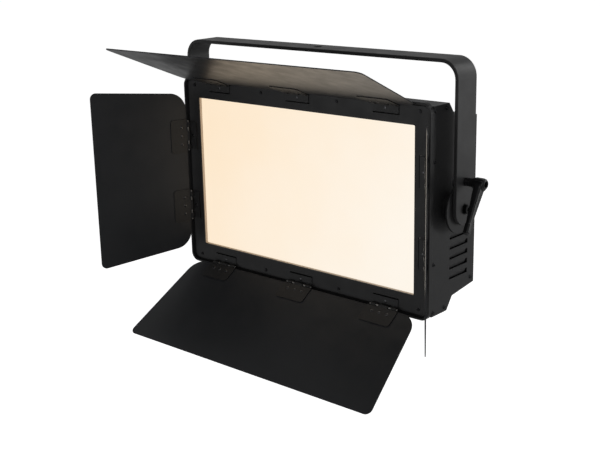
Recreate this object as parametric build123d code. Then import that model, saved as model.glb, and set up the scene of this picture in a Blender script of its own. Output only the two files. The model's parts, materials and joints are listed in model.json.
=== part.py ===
from build123d import *
import math
import os

# LED panel light with four barn doors, hung in a flat-bar yoke.
# Millimetres. +X right, +Y to the back, +Z up. The origin is the centre of the yoke's hanging hole,
# on the bar's top face, with the light hanging below it and shining towards -Y.
# The head is drawn about the centre of its lit opening, on the front face of the bezel, then moved.

# ---- driving dimensions -------------------------------------------------------------------------
# light opening and front frame
lit_width, lit_height = 416, 240
frame_width, frame_height = 473, 305
frame_corner = 14           # outer corner radius of the front frame
lip_wall = 3                # thickness of the lip that runs round the frame
lip_proud = 5               # how far the lip stands in front of the bezel
groove_width = 2.6          # groove between bezel and lip
hinge_inset = 3.25          # hinge axis inside the lip
groove_depth = 2            # groove floor behind the bezel face
frame_wall = 1.5
frame_tab = 8               # tabs at the frame's sides that take the side plates' front screws
slot_width = 2.6            # slots in the bezel that the frame leaves hook into
bezel_return = 4.5          # depth of the white seat between bezel and diffuser

# housing
housing_width, housing_height = 472, 295
sheet = 1.5
front_depth = 40            # bezel face to the start of the chamfer
chamfer_depth, chamfer_drop = 13.5, 18.5
housing_depth, rear_taper = 108.5, 7
flange = 12                 # width of the inner flanges that take the screws
louvre_count, louvre_pitch = 5, 14.6
louvre_length, louvre_height, louvre_inset = 46, 7, 2.4
louvre_top = -38.5          # height of the first louvre's upper edge
louvre_front = 45           # its front end, behind the bezel

# yoke and tilt pivot
yoke_inside = 506           # clear width between the arms
bar_width, bar_thickness = 45, 5.2
yoke_bend = 22              # inside bend radius
yoke_rise = 205.5           # bar top above the pivot
hang_hole = 12.5
pivot_depth, pivot_rise = 48.4, 2   # pivot behind the bezel face and above the light's centre
disc_radius, disc_thickness = 35.2, 3
spacer_radius = 22
bolt_radius, bolt_head_radius, bolt_head = 4, 6.3, 4
bush_wall = 2
washer_thickness = 1
running = 0.05              # radial clearance of pins and shafts
side_play = 0.2             # gap between flat faces that slide on each other

# clamping levers
clamp_rise = 38.6           # clamp stud above the pivot
stud_radius = 3
jaw_radius, jaw_thickness = 13, 4
driver_radius, driver_length = 4.4, 3.6     # twelve-point driver that turns the stud
hub_base_radius, hub_radius, hub_length = 6, 7.8, 32
handle_reach = 74           # stud axis to the end of the handle
handle_angle = 37.7         # handle from straight down, towards the front
handle_rake = 6.5           # handle leaning away from the yoke
handle_lift = 4             # pull-out travel that frees the handle from the driver

# barn doors and their hinges
door_sheet = 1.5
door_edge = 3               # hinge axis to the door's inner edge
top_length, top_inner, top_outer = 167, 219.4, 240.2        # axis to outer edge, half widths
side_length, side_inner, side_outer = 160.5, 125, 141.2
door_inner_corner, door_outer_corner = 28, 9
hinge_side = 1.25
pin_radius, knuckle_radius = 1.2, 2.5
leaf_thickness, leaf_length, leaf_width = 1.2, 31, 54
leaf_rivet_reach, leaf_rivet_pitch = 12, 13.5
frame_leaf_width, frame_leaf_reach = 44, 12.4
frame_rivet_reach = 6.7
knuckle_length, door_knuckle = 8, 16
top_hinge_pitch, side_hinge_pitch = 160, 115
rivet_radius, rivet_head = 2.5, 1.2
rest_angle = {"top": 67, "bottom": 56, "left": 71, "right": 55.1}   # from flat open towards the front

# light engine and electronics
diffuser_thickness, diffuser_overlap = 3, 5
box_depth, box_wall, box_taper = 26, 1.5, 10
board_thickness = 1.6
led_columns, led_rows, led_size, led_height = 20, 12, 3.5, 0.8
sink_base, fin_depth, fin_thickness, fin_count = 3, 16, 2, 26

# rear controls
panel_size = (104, 44)
panel_at = (0, 34)
button_radius, button_pitch, button_travel = 4, 13, 1.2
socket_z = -44
power_x, data_x = (-150, -105), (105, 150)
fuse_x = -60

# ---- places that follow from them ----------------------------------------------------------------
head_place = Location((0, -pivot_depth, -yoke_rise - pivot_rise))
pivot_z = -yoke_rise
arm_inner = yoke_inside / 2
arm_outer = arm_inner + bar_thickness
frame_back = groove_depth + frame_wall
lip_inner = (frame_width - 2 * lip_wall, frame_height - 2 * lip_wall)
bezel = (lip_inner[0] - 2 * groove_width, lip_inner[1] - 2 * groove_width)
axis_x = frame_width / 2 - lip_wall - hinge_inset
axis_z = frame_height / 2 - lip_wall - hinge_inset
seat_back = frame_wall + bezel_return
diffuser_back = seat_back + diffuser_thickness
box_back = diffuser_back + box_depth
board_back = box_back + board_thickness
inner_x = housing_width / 2 - sheet
disc_face = arm_inner - washer_thickness - side_play
sink_height = lit_height - 20


# ---- helpers -------------------------------------------------------------------------------------
def slab(width, height, y_front, y_back, radius=0):
    """Flat plate square to Y, centred on the light, from y_front to y_back."""
    outline = RectangleRounded(width, height, radius) if radius else Rectangle(width, height)
    plane = Plane(origin=(0, y_back, 0), x_dir=(1, 0, 0), z_dir=(0, -1, 0))
    return plane * extrude(outline, y_back - y_front)


def block(x0, x1, y0, y1, z0, z1):
    """Box from its low and high coordinates."""
    return Pos((x0 + x1) / 2, (y0 + y1) / 2, (z0 + z1) / 2) * Box(x1 - x0, y1 - y0, z1 - z0)


def rod_x(radius, x0, x1, y=0, z=0):
    """Round bar along X."""
    return Plane(origin=(x0, y, z), x_dir=(0, 1, 0), z_dir=(1, 0, 0)) * extrude(Circle(radius), x1 - x0)


def rod_y(radius, y0, y1, x=0, z=0):
    """Round bar along Y."""
    return Plane(origin=(x, y0, z), x_dir=(0, 0, 1), z_dir=(0, 1, 0)) * extrude(Circle(radius), y1 - y0)


def both_sides(shape):
    """A right-hand piece and its mirror image on the left."""
    return [shape, mirror(shape, Plane.YZ)]


def group(shapes):
    """Separate solids kept together in one node."""
    return Compound([solid for shape in shapes for solid in shape.solids()])


def in_head(shape):
    """Move a shape drawn about the light's centre to its place in the assembly."""
    return head_place * shape


def profile(inset=0):
    """Side outline of the housing in (y, z), moved in by inset on all sides but the front."""
    half = housing_height / 2
    front = frame_back - 2 * inset
    outline = make_face(Polyline(
        (front, -half), (front_depth, -half),
        (front_depth + chamfer_depth, -half + chamfer_drop),
        (housing_depth, -half + chamfer_drop + rear_taper),
        (housing_depth, half - chamfer_drop - rear_taper),
        (front_depth + chamfer_depth, half - chamfer_drop),
        (front_depth, half), (front, half), close=True))
    if not inset:
        return outline
    depth = housing_depth - frame_back
    behind_frame = Pos(frame_back + depth / 2, 0) * Rectangle(depth, housing_height)
    return offset(outline, -inset, kind=Kind.INTERSECTION) & behind_frame


def along_x(face, x0, x1):
    """Extrude an outline given in (y, z) from x0 to x1."""
    return Plane(origin=(x0, 0, 0), x_dir=(0, 1, 0), z_dir=(1, 0, 0)) * extrude(face, x1 - x0)


# ---- yoke ----------------------------------------------------------------------------------------
def yoke():
    """Flat bar bent to a U, with round arm ends, the hanging hole and holes for pivot and clamp."""
    drop = yoke_rise + bar_width / 2
    outer_bend = yoke_bend + bar_thickness
    outside = Pos(0, -drop / 2) * Rectangle(2 * arm_outer, drop)
    outside = fillet(outside.vertices().group_by(Axis.Y)[-1], outer_bend)
    inside = Pos(0, -drop / 2 - bar_thickness) * Rectangle(2 * arm_inner, drop)
    inside = fillet(inside.vertices().group_by(Axis.Y)[-1], yoke_bend)
    plane = Plane(origin=(0, bar_width / 2, 0), x_dir=(1, 0, 0), z_dir=(0, -1, 0))
    bar = plane * extrude(outside - inside, bar_width)
    side = Pos(0, pivot_z / 2) * Rectangle(bar_width, -pivot_z) + Pos(0, pivot_z) * Circle(bar_width / 2)
    bar = bar & along_x(side, -arm_outer, arm_outer)
    bar = chamfer([e for e in bar.edges() if e.length > bar_width + 1], 0.6)
    bar -= Pos(0, 0, -bar_thickness) * extrude(Circle(hang_hole / 2), bar_thickness)
    bar -= rod_x(bolt_radius + running + bush_wall, -arm_outer, arm_outer, 0, pivot_z)
    return bar - rod_x(stud_radius + running + bush_wall, -arm_outer, arm_outer, 0, pivot_z + clamp_rise)


def flanged_bush(bore, z):
    """Bush through the right yoke arm, with a thin flange on its inner face."""
    outer = bore + bush_wall
    face = arm_inner - washer_thickness
    bush = rod_x(outer, face, arm_outer, 0, z) + rod_x(outer + 2, face, arm_inner, 0, z)
    return bush - rod_x(bore, face, arm_outer, 0, z)


def pivot_bushes():
    """Plain bearing bushes in which the pivot bolts turn."""
    return group(both_sides(flanged_bush(bolt_radius + running, pivot_z)))


def clamp_inserts():
    """Inserts for the clamp studs; the flange backs the disc's rim when the jaw pulls on it."""
    return group(both_sides(flanged_bush(stud_radius + running, pivot_z + clamp_rise)))


def friction_washers():
    """Fibre washers on the inner faces of the arms, round the pivot bushes."""
    bush_flange = bolt_radius + running + bush_wall + 2
    washer = rod_x(spacer_radius - 2, arm_inner - washer_thickness, arm_inner, 0, pivot_z)
    return group(both_sides(washer - rod_x(bush_flange, 0, arm_inner, 0, pivot_z)))


# ---- clamping levers -----------------------------------------------------------------------------
def driver(radius):
    """Twelve-point star outline."""
    return RegularPolygon(radius, 6) + Rot(0, 0, 30) * RegularPolygon(radius, 6)


def clamp_stud():
    """Steel stud: a round jaw inside the tilt disc's rim and a star driver under the handle's hub."""
    z = pivot_z + clamp_rise
    jaw_face = disc_face - disc_thickness - side_play
    stud = rod_x(stud_radius, jaw_face - jaw_thickness, arm_outer + hub_length - 10, 0, z)
    jaw = rod_x(jaw_radius, jaw_face - jaw_thickness, jaw_face, 0, z)
    jaw = chamfer(jaw.edges().filter_by(GeomType.CIRCLE), 0.6)
    plane = Plane(origin=(arm_outer + side_play, 0, z), x_dir=(0, 1, 0), z_dir=(1, 0, 0))
    return stud + jaw + plane * extrude(driver(driver_radius), driver_length)


def clamp_screw():
    """Retaining screw in the outer end of the stud."""
    z = pivot_z + clamp_rise
    tip = arm_outer + hub_length - 10
    screw = rod_x(4, tip, tip + 3, 0, z)
    socket = Plane(origin=(tip + 1, 0, z), x_dir=(0, 1, 0), z_dir=(1, 0, 0))
    return screw - socket * extrude(RegularPolygon(2, 6), 2)


def clamp_handle():
    """Moulded hub, flared and ribbed at its outer end, with a tapering handle and a thicker foot."""
    z = pivot_z + clamp_rise
    base, end = arm_outer + side_play, arm_outer + hub_length
    tip = end - 10
    plane = Plane(origin=(base, 0, z), x_dir=(1, 0, 0), z_dir=(0, -1, 0))
    outline = Polyline((0, 0), (0, hub_base_radius), (9, hub_base_radius), (16, hub_radius),
                       (end - base - 2, hub_radius), (end - base, hub_radius - 2),
                       (end - base, 0), close=True)
    hub = plane * revolve(make_face(outline), Axis.X)
    shoulder = rod_x(hub_radius - 0.6, end - 17, end - 1, 0, z - 2.8)
    hub += chamfer(shoulder.edges().filter_by(GeomType.CIRCLE), 1.5)
    for angle in range(0, 360, 30):
        rib = rod_x(0.8, base + 16, end - 3, 0, z + hub_radius - 0.2)
        hub += rib.rotate(Axis((0, 0, z), (1, 0, 0)), angle)
    root = Plane(origin=(end - 9.5, 0, z), x_dir=(1, 0, 0), z_dir=(0, 0, -1))
    grip = loft([root * RectangleRounded(13, 15, 3.5),
                 root * Pos(0, 0, handle_reach - 9) * RectangleRounded(6.6, 8, 2.4)])
    grip += root * Pos(0, 0, handle_reach - 14) * extrude(RectangleRounded(8.6, 10, 3), 14)
    grip = fillet(grip.faces().sort_by(Axis.Z)[0].edges(), 1.6)
    grip = grip.rotate(Axis((end - 9.5, 0, z), (0, 1, 0)), -handle_rake)
    handle = hub + grip
    handle -= rod_x(stud_radius + running, base, end, 0, z)
    handle -= rod_x(4.2, tip - handle_lift - side_play, end, 0, z)
    handle = handle.rotate(Axis((0, 0, z), (1, 0, 0)), -handle_angle)
    socket = Plane(origin=(base, 0, z), x_dir=(0, 1, 0), z_dir=(1, 0, 0))
    return handle - socket * extrude(driver(driver_radius + 2 * running), driver_length + side_play)


# ---- tilt pivot on the head ----------------------------------------------------------------------
def tilt_discs():
    """Steel discs that turn with the head and that the clamps grip by their rims."""
    disc = rod_x(disc_radius, disc_face - disc_thickness, disc_face, 0, pivot_z)
    disc = chamfer(disc.edges().filter_by(GeomType.CIRCLE), 0.4)
    return group(both_sides(disc - rod_x(bolt_radius, arm_inner - 10, arm_inner, 0, pivot_z)))


def pivot_spacers():
    """Round spacers between the side plates and the tilt discs."""
    spacer = rod_x(spacer_radius, housing_width / 2, disc_face - disc_thickness, 0, pivot_z)
    return group(both_sides(spacer - rod_x(bolt_radius, 0, arm_inner, 0, pivot_z)))


def pivot_plates():
    """Thick plates inside the side plates, with the threads for the pivot bolts."""
    plate = block(inner_x - 4, inner_x, -24, 24, pivot_z - 24, pivot_z + 24)
    plate = fillet(plate.edges().filter_by(Axis.X), 5)
    plate += rod_x(9, inner_x - 10, inner_x - 4, 0, pivot_z)
    return group(both_sides(plate - rod_x(bolt_radius, 0, inner_x, 0, pivot_z)))


def pivot_bolts():
    """Socket-head pivot bolts with a washer face."""
    seat = arm_outer + side_play
    bolt = rod_x(bolt_radius, inner_x - 10, seat, 0, pivot_z)
    bolt += rod_x(bolt_head_radius + 1.2, seat, seat + washer_thickness, 0, pivot_z)
    head = rod_x(bolt_head_radius, seat, seat + washer_thickness + bolt_head, 0, pivot_z)
    head = chamfer(head.edges().filter_by(GeomType.CIRCLE).sort_by(Axis.X)[-1:], 0.6)
    socket = Plane(origin=(seat + 3, 0, pivot_z), x_dir=(0, 1, 0), z_dir=(1, 0, 0))
    return group(both_sides(bolt + head - socket * extrude(RegularPolygon(2.9, 6), bolt_head)))


# ---- housing -------------------------------------------------------------------------------------
side_screw_places = [(6.5, 72), (6.5, -72), (6.5, 141.5), (6.5, -141.5), (34, 141), (34, -141),
                     (100, 113.5), (100, -113.5), (100, 0)]


def side_plate(side):
    """Side plate with louvres pressed inwards; side is +1 on the right and -1 on the left."""
    face = housing_width / 2
    plate = along_x(profile(), inner_x, face)
    for number in range(louvre_count):
        top = louvre_top - number * louvre_pitch
        low, back = top - louvre_height, louvre_front + louvre_length
        plate -= block(inner_x, face, louvre_front, back, low, top)
        strip = Polyline((face - 0.3, top), (face - louvre_inset, low + 1),
                         (face - louvre_inset - 1.2, low + 1), (inner_x, top + 0.4),
                         (face - 0.3, top + 0.4), close=True)
        plane = Plane(origin=(0, back - 3.5, 0), x_dir=(1, 0, 0), z_dir=(0, -1, 0))
        plate += plane * extrude(make_face(strip), louvre_length - 3.5)
        cheek = Polyline((face - 0.3, top), (face - louvre_inset, low + 1), (face - louvre_inset, low - 0.4),
                         (face - 0.3, low - 0.4), close=True)
        plane = Plane(origin=(0, louvre_front + 1, 0), x_dir=(1, 0, 0), z_dir=(0, -1, 0))
        plate += plane * extrude(make_face(cheek), 1.5)
    for y, z in side_screw_places:
        plate -= rod_x(1.7, 0, face, y, z)
    plate -= rod_x(bolt_radius, inner_x, face, pivot_depth, pivot_rise)
    plate = in_head(plate)
    return plate if side > 0 else mirror(plate, Plane.YZ)


frame_screw_z = 139.6
frame_screw_x = (-216, -73, 73, 216)


def cover(side):
    """Top cover (+1) or bottom cover (-1): bent sheet with end flanges and a front flange."""
    half = housing_height / 2
    rear_inner = housing_depth - sheet
    shell = along_x(profile() - profile(sheet), -inner_x, inner_x)
    ends = profile(sheet) - profile(flange)
    shell += along_x(ends, inner_x - sheet, inner_x) + along_x(ends, -inner_x, -inner_x + sheet)
    shell &= block(-inner_x, inner_x, frame_back, rear_inner, half - chamfer_drop - rear_taper - flange, half)
    shell += block(-inner_x, inner_x, frame_back, frame_back + sheet, half - flange, half)
    for x in frame_screw_x:
        shell -= rod_y(1.6, frame_back, frame_back + sheet, x, frame_screw_z)
    for y, z in side_screw_places:
        shell -= rod_x(1.6, -inner_x, inner_x, y, z)
    return in_head(shell if side > 0 else mirror(shell, Plane.XY))


def rear_panel():
    """Flat back panel with cut-outs for controls and sockets, and two rows of vent slots."""
    half = housing_height / 2 - chamfer_drop - rear_taper
    wall = (housing_depth - sheet, housing_depth)
    panel = block(-inner_x, inner_x, *wall, -half, half)
    for x0, x1 in ((inner_x - sheet, inner_x), (-inner_x, -inner_x + sheet)):
        panel += block(x0, x1, housing_depth - flange, housing_depth, -half + flange + 1, half - flange - 1)
        panel -= rod_x(1.6, x0, x1, *side_screw_places[-1])
    px, pz = panel_at
    panel -= block(px - panel_size[0] / 2 + 5, px + panel_size[0] / 2 - 5, *wall,
                   pz - panel_size[1] / 2 + 5, pz + panel_size[1] / 2 - 5)
    for x in power_x + data_x:
        panel -= rod_y(12, *wall, x, socket_z)
    panel -= rod_y(7, *wall, fuse_x, socket_z)
    for row_z in (78, -92):
        for number in range(21):
            slot = block(-1.8, 1.8, *wall, row_z - 11, row_z + 11)
            panel -= Pos((number - 10) * 15, 0, 0) * slot
    for x, z in rear_screw_places():
        panel -= rod_y(1.6, *wall, x, z)
    return in_head(panel)


def rear_screw_places():
    """Screws along the top and bottom edges of the rear panel."""
    half = housing_height / 2 - chamfer_drop - rear_taper - 6
    return [(x, z) for x in (-220, -110, 0, 110, 220) for z in (-half, half)]


def rear_brackets():
    """Angle strips that join the rear panel to the top and bottom covers."""
    half = housing_height / 2 - chamfer_drop - rear_taper
    y = housing_depth - sheet
    strip = block(-inner_x + sheet, inner_x - sheet, y - sheet, y, half - flange, half - sheet - 0.3)
    for x, z in rear_screw_places():
        strip -= rod_y(1.6, y - sheet, y, x, z)
    return group([in_head(strip), in_head(mirror(strip, Plane.XY))])


def pan_screw(radius, length, head_radius, head):
    """Pan-head screw along +Z with its head's seat at the origin and a cross recess."""
    screw = Pos(0, 0, -length) * extrude(Circle(radius), length) + extrude(Circle(head_radius), head)
    screw = fillet(screw.edges().group_by(Axis.Z)[-1], head * 0.4)
    recess = Rectangle(head_radius * 1.1, 0.7) + Rectangle(0.7, head_radius * 1.1)
    return screw - Pos(0, 0, head * 0.5) * extrude(recess, head)


def side_screws():
    """Screws that hold the side plates to the covers' flanges."""
    screw = pan_screw(1.6, 3, 3, 1.4)
    screws = []
    for y, z in side_screw_places:
        plane = Plane(origin=(housing_width / 2, y, z), x_dir=(0, 1, 0), z_dir=(1, 0, 0))
        screws += both_sides(plane * screw)
    return group([in_head(s) for s in screws])


def rear_screws():
    """Screws round the rear panel."""
    screw = pan_screw(1.6, 3, 3, 1.4)
    places = [Plane(origin=(x, housing_depth, z), x_dir=(1, 0, 0), z_dir=(0, 1, 0))
              for x, z in rear_screw_places()]
    return group([in_head(place * screw) for place in places])


# ---- front frame and light engine ----------------------------------------------------------------
def front_frame():
    """Folded frame: bezel round the light, narrow groove, and the lip that stands proud of it."""
    ring = slab(frame_width, frame_height, -lip_proud, frame_back, frame_corner)
    ring -= slab(*lip_inner, -lip_proud, groove_depth, frame_corner - lip_wall)
    ring += slab(*bezel, 0, groove_depth, frame_corner - lip_wall - groove_width)
    ring -= slab(bezel[0] - 2 * frame_wall, bezel[1] - 2 * frame_wall, frame_wall, groove_depth, 2)
    ring -= slab(2 * (inner_x - 20), housing_height - 2 * (flange + 1), groove_depth, frame_back, 2)
    ring -= slab(lit_width, lit_height, 0, frame_wall, 1.5)
    ring = chamfer(ring.faces().sort_by(Axis.Y)[0].edges(), 0.8)
    for x0, x1 in ((inner_x - sheet, inner_x), (-inner_x, -inner_x + sheet)):
        tab = block(x0, x1, frame_back, frame_back + frame_tab, -132, 132)
        for y, z in side_screw_places[:2]:
            tab -= rod_x(1.6, x0, x1, y, z)
        ring += tab
    for x in frame_screw_x:
        for z in (-frame_screw_z, frame_screw_z):
            ring -= rod_y(1.7, 0, frame_back, x, z)
    ring = in_head(ring)
    half = frame_leaf_width / 2
    slot = block(-half - 0.5, half + 0.5, -frame_leaf_reach - slot_width, -frame_leaf_reach, -lip_proud - 8,
                 -lip_proud)
    for side, (*_, hinges) in door_sides.items():
        for hinge in hinges:
            ring -= in_head(hinge_plane(side) * Pos(hinge, 0, 0) * slot)
    return ring


def frame_screws():
    """Screws through the bezel into the covers' front flanges."""
    screw = pan_screw(1.6, frame_back + sheet, 2.8, 1.2)
    places = [Plane(origin=(x, 0, z), x_dir=(1, 0, 0), z_dir=(0, -1, 0))
              for x in frame_screw_x for z in (-frame_screw_z, frame_screw_z)]
    return group([in_head(place * screw) for place in places])


def diffuser_seat():
    """White seat ring between the bezel and the diffuser."""
    size = (lit_width + 2 * diffuser_overlap, lit_height + 2 * diffuser_overlap)
    ring = slab(*size, frame_wall, seat_back, 3) - slab(lit_width, lit_height, frame_wall, seat_back, 1.5)
    return in_head(ring)


def diffuser():
    """Opal sheet that closes the light box."""
    size = (lit_width + 2 * diffuser_overlap, lit_height + 2 * diffuser_overlap)
    return in_head(slab(*size, seat_back, diffuser_back, 3))


def light_box():
    """White reflector box with walls that lean in towards the board."""
    outer = (lit_width + 2 * diffuser_overlap, lit_height + 2 * diffuser_overlap)

    def tray(width, height, y_front, y_back, taper):
        front = Plane(origin=(0, y_front, 0), x_dir=(1, 0, 0), z_dir=(0, -1, 0)) * Rectangle(width, height)
        back = Plane(origin=(0, y_back, 0), x_dir=(1, 0, 0), z_dir=(0, -1, 0)) \
            * Rectangle(width - 2 * taper, height - 2 * taper)
        return loft([front, back])

    box = tray(*outer, diffuser_back, box_back, box_taper)
    box -= tray(outer[0] - 2 * box_wall, outer[1] - 2 * box_wall, diffuser_back, box_back, box_taper)
    return in_head(box)


def board_size():
    """Width and height of the LED board."""
    shrink = 2 * (diffuser_overlap - box_taper)
    return (lit_width + shrink, lit_height + shrink)


def led_board():
    """Aluminium-core board that closes the back of the light box."""
    return in_head(slab(*board_size(), box_back, board_back))


def led_chips():
    """Warm and cool LED chips in a regular grid."""
    width, height = board_size()
    step_x, step_z = (width - 30) / (led_columns - 1), (height - 26) / (led_rows - 1)
    chip = slab(led_size, led_size, box_back - led_height, box_back)
    chips = [Pos((col - (led_columns - 1) / 2) * step_x, 0, (row - (led_rows - 1) / 2) * step_z) * chip
             for col in range(led_columns) for row in range(led_rows)]
    return group([in_head(c) for c in chips])


def heat_sink():
    """Finned aluminium plate behind the board, fins upright."""
    width = board_size()[0] - 20
    section = Pos(0, board_back + sink_base / 2) * Rectangle(width, sink_base)
    for number in range(fin_count):
        x = -width / 2 + fin_thickness + number * (width - 2 * fin_thickness) / (fin_count - 1)
        section += Pos(x, board_back + sink_base + fin_depth / 2) * Rectangle(fin_thickness, fin_depth)
    return in_head(Pos(0, 0, -sink_height / 2) * extrude(section, sink_height))


def light_box_rails():
    """Z-shaped rails, top and bottom, that clamp the light box and board against the bezel."""
    z = lit_height / 2 + diffuser_overlap + 5
    rail = block(-200, 200, frame_wall, board_back + sheet, z - sheet, z)
    rail += block(-200, 200, board_back, board_back + sheet, sink_height / 2 + 0.5, z)
    rail += block(-200, 200, frame_wall, frame_wall + sheet, z - 4, z)
    return group([in_head(rail), in_head(mirror(rail, Plane.XY))])


def power_supply():
    """Cased power supply on the rear panel, with its terminal block."""
    back = housing_depth - sheet
    case = block(-200, -70, back - 32, back, -18, 55)
    case = fillet(case.edges().filter_by(Axis.Y), 2)
    return in_head(case + block(-70, -60, back - 14, back, -10, 47))


def standoffs(xs, zs, y0, y1):
    """Four round standoffs at the crossings of xs and zs."""
    return [rod_y(2.5, y0, y1, x, z) for x in xs for z in zs]


def driver_board():
    """LED driver board on standoffs, with its inductors."""
    back = housing_depth - sheet
    front = back - 12
    board = block(70, 190, front - 1.6, front, -10, 60)
    for x in (95, 130, 165):
        board += rod_y(9, front - 14, front - 1.6, x, 30)
    for post in standoffs((76, 184), (-4, 54), front, back):
        board += post
    return in_head(board)


def control_board():
    """Board behind the control panel, on standoffs, with a switch under each button."""
    x, z = panel_at
    back = housing_depth - sheet
    front = back - 12
    board = block(x - 52, x + 52, front - 1.6, front, z - 23, z + 23)
    for post in standoffs((x - 49.5, x + 49.5), (z - 20.5, z + 20.5), front, back):
        board += post
    for bx, bz in button_places():
        board += block(bx - 3, bx + 3, front, housing_depth - 5.5 - button_travel - 0.1, bz - 3, bz + 3)
    return in_head(board)


# ---- rear controls -------------------------------------------------------------------------------
def button_places():
    """Centres of the four buttons, in a row under the display."""
    x, z = panel_at
    return [(x + (number - 1.5) * button_pitch, z - panel_size[1] / 2 + 12) for number in range(4)]


def control_panel():
    """Plastic surround for display and buttons."""
    x, z = panel_at
    plate = slab(*panel_size, housing_depth, housing_depth + 2.5, 4)
    plate = chamfer(plate.faces().sort_by(Axis.Y)[-1].edges(), 0.8)
    plate += slab(panel_size[0] - 10.6, panel_size[1] - 10.6, housing_depth - sheet - 2, housing_depth)
    plate = Pos(x, 0, z) * plate
    plate -= block(x - 26, x + 26, housing_depth - 4, housing_depth + 3, z - 3, z + 15)
    for bx, bz in button_places():
        plate -= rod_y(button_radius + 0.3, housing_depth - 4, housing_depth + 3, bx, bz)
    return in_head(plate)


def display():
    """Display module behind its window."""
    x, z = panel_at
    back = housing_depth - sheet - 2
    return in_head(block(x - 25.8, x + 25.8, back, housing_depth + 1.5, z - 2.8, z + 14.8))


def button(number):
    """Push button with a domed top and a collar inside the panel."""
    x, z = button_places()[number]
    top = housing_depth + 4.5
    key = rod_y(button_radius, housing_depth - 2, top, x, z)
    key = fillet(key.edges().filter_by(GeomType.CIRCLE).sort_by(Axis.Y)[-1:], 1)
    key += rod_y(button_radius + 1.2, housing_depth - 5.5, housing_depth - sheet - 2 - 0.2, x, z)
    return in_head(key + rod_y(button_radius, housing_depth - 5.5, housing_depth - 1, x, z))


def round_socket(x, flange_size, insert_radius, pins):
    """Panel socket: square flange, round shell and a shallow face with contact holes."""
    face = housing_depth + 2
    socket = slab(*flange_size, housing_depth, face, 3) + rod_y(11.8, housing_depth - 22, face + 1.5)
    socket -= rod_y(insert_radius, face - 1.5, face + 1.5)
    for hole in PolarLocations(insert_radius * 0.5, pins):
        socket -= rod_y(1.2, face - 8, face, hole.position.X, hole.position.Y)
    return in_head(Pos(x, 0, socket_z) * socket)


def power_sockets():
    """Power inlet and link outlet."""
    return group([round_socket(x, (27, 31), 9.5, 3) for x in power_x])


def data_sockets():
    """Control signal in and out."""
    return group([round_socket(x, (26, 31), 8.5, 5) for x in data_x])


def fuse_holder():
    """Fuse holder with its slotted cap."""
    holder = rod_y(6.8, housing_depth - 20, housing_depth, fuse_x, socket_z)
    holder += rod_y(8.5, housing_depth, housing_depth + 2, fuse_x, socket_z)
    holder += rod_y(6.5, housing_depth + 2, housing_depth + 7, fuse_x, socket_z)
    top = housing_depth + 7
    slot = block(fuse_x - 7, fuse_x + 7, top - 1.2, top, socket_z - 0.8, socket_z + 0.8)
    return in_head(holder - slot)


def safety_loop():
    """Bent-rod loop on the rear panel for a safety cable."""
    y, z, wire, half = housing_depth, 104, 2.5, 14
    path = FilletPolyline((-half, y, z), (-half, y + 18, z), (half, y + 18, z), (half, y, z), radius=9)
    loop = sweep(Plane(origin=(-half, y, z), z_dir=(0, 1, 0)) * Circle(wire), path=path)
    for x in (-half, half):
        loop += rod_y(5, y, y + 2.5, x, z)
    return in_head(loop)


# ---- barn doors ----------------------------------------------------------------------------------
# A door is drawn flat: local X along the hinge axis, Y from the axis to the outer edge, and Z towards
# the lit side. Each side's plane puts it at its angle.
door_sides = {
    "top": ((0, 1), (1, 0, 0), top_length, top_inner, top_outer, (-top_hinge_pitch, 0, top_hinge_pitch)),
    "bottom": ((0, -1), (-1, 0, 0), top_length, top_inner, top_outer,
               (-top_hinge_pitch, 0, top_hinge_pitch)),
    "left": ((-1, 0), (0, 0, 1), side_length, side_inner, side_outer,
             (-side_hinge_pitch / 2, side_hinge_pitch / 2)),
    "right": ((1, 0), (0, 0, -1), side_length, side_inner, side_outer,
              (-side_hinge_pitch / 2, side_hinge_pitch / 2)),
}


def hinge_plane(side, angle=0):
    """Plane on a hinge axis, turned by angle from flat open towards the front."""
    (ox, oz), axis, *_ = door_sides[side]
    turn = math.radians(angle)
    lit_side = (-ox * math.sin(turn), -math.cos(turn), -oz * math.sin(turn))
    return Plane(origin=(ox * axis_x, -lip_proud, oz * axis_z), x_dir=axis, z_dir=lit_side)


def door(side):
    """Flared door leaf with large inner and small outer corner radii."""
    _, _, length, inner, outer, _ = door_sides[side]
    slope = (outer - inner) / length
    near = inner + slope * door_edge
    outline = make_face(Polyline((-near, door_edge), (near, door_edge), (outer, length),
                                 (-outer, length), close=True))
    rows = outline.vertices().group_by(Axis.Y)
    outline = fillet(rows[0], door_inner_corner)
    outline = fillet(outline.vertices().group_by(Axis.Y)[-1], door_outer_corner)
    leaf = Pos(0, 0, leaf_offset - door_sheet) * extrude(outline, door_sheet)
    leaf = fillet([e for e in leaf.edges() if abs(e.center().Z - leaf_offset + door_sheet / 2) > 0.5], 0.4)
    for x in rivet_places(side):
        leaf -= Pos(x, leaf_rivet_reach, leaf_offset - door_sheet) * extrude(Circle(1.5), door_sheet)
    return in_head(hinge_plane(side, rest_angle[side]) * leaf)


leaf_offset = 0.4           # door sheet's lit face from the hinge axis


def rivet_places(side):
    """Rivet centres along the hinge axis."""
    return [hinge + step * leaf_rivet_pitch for hinge in door_sides[side][5] for step in (-1, 0, 1)]


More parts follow.
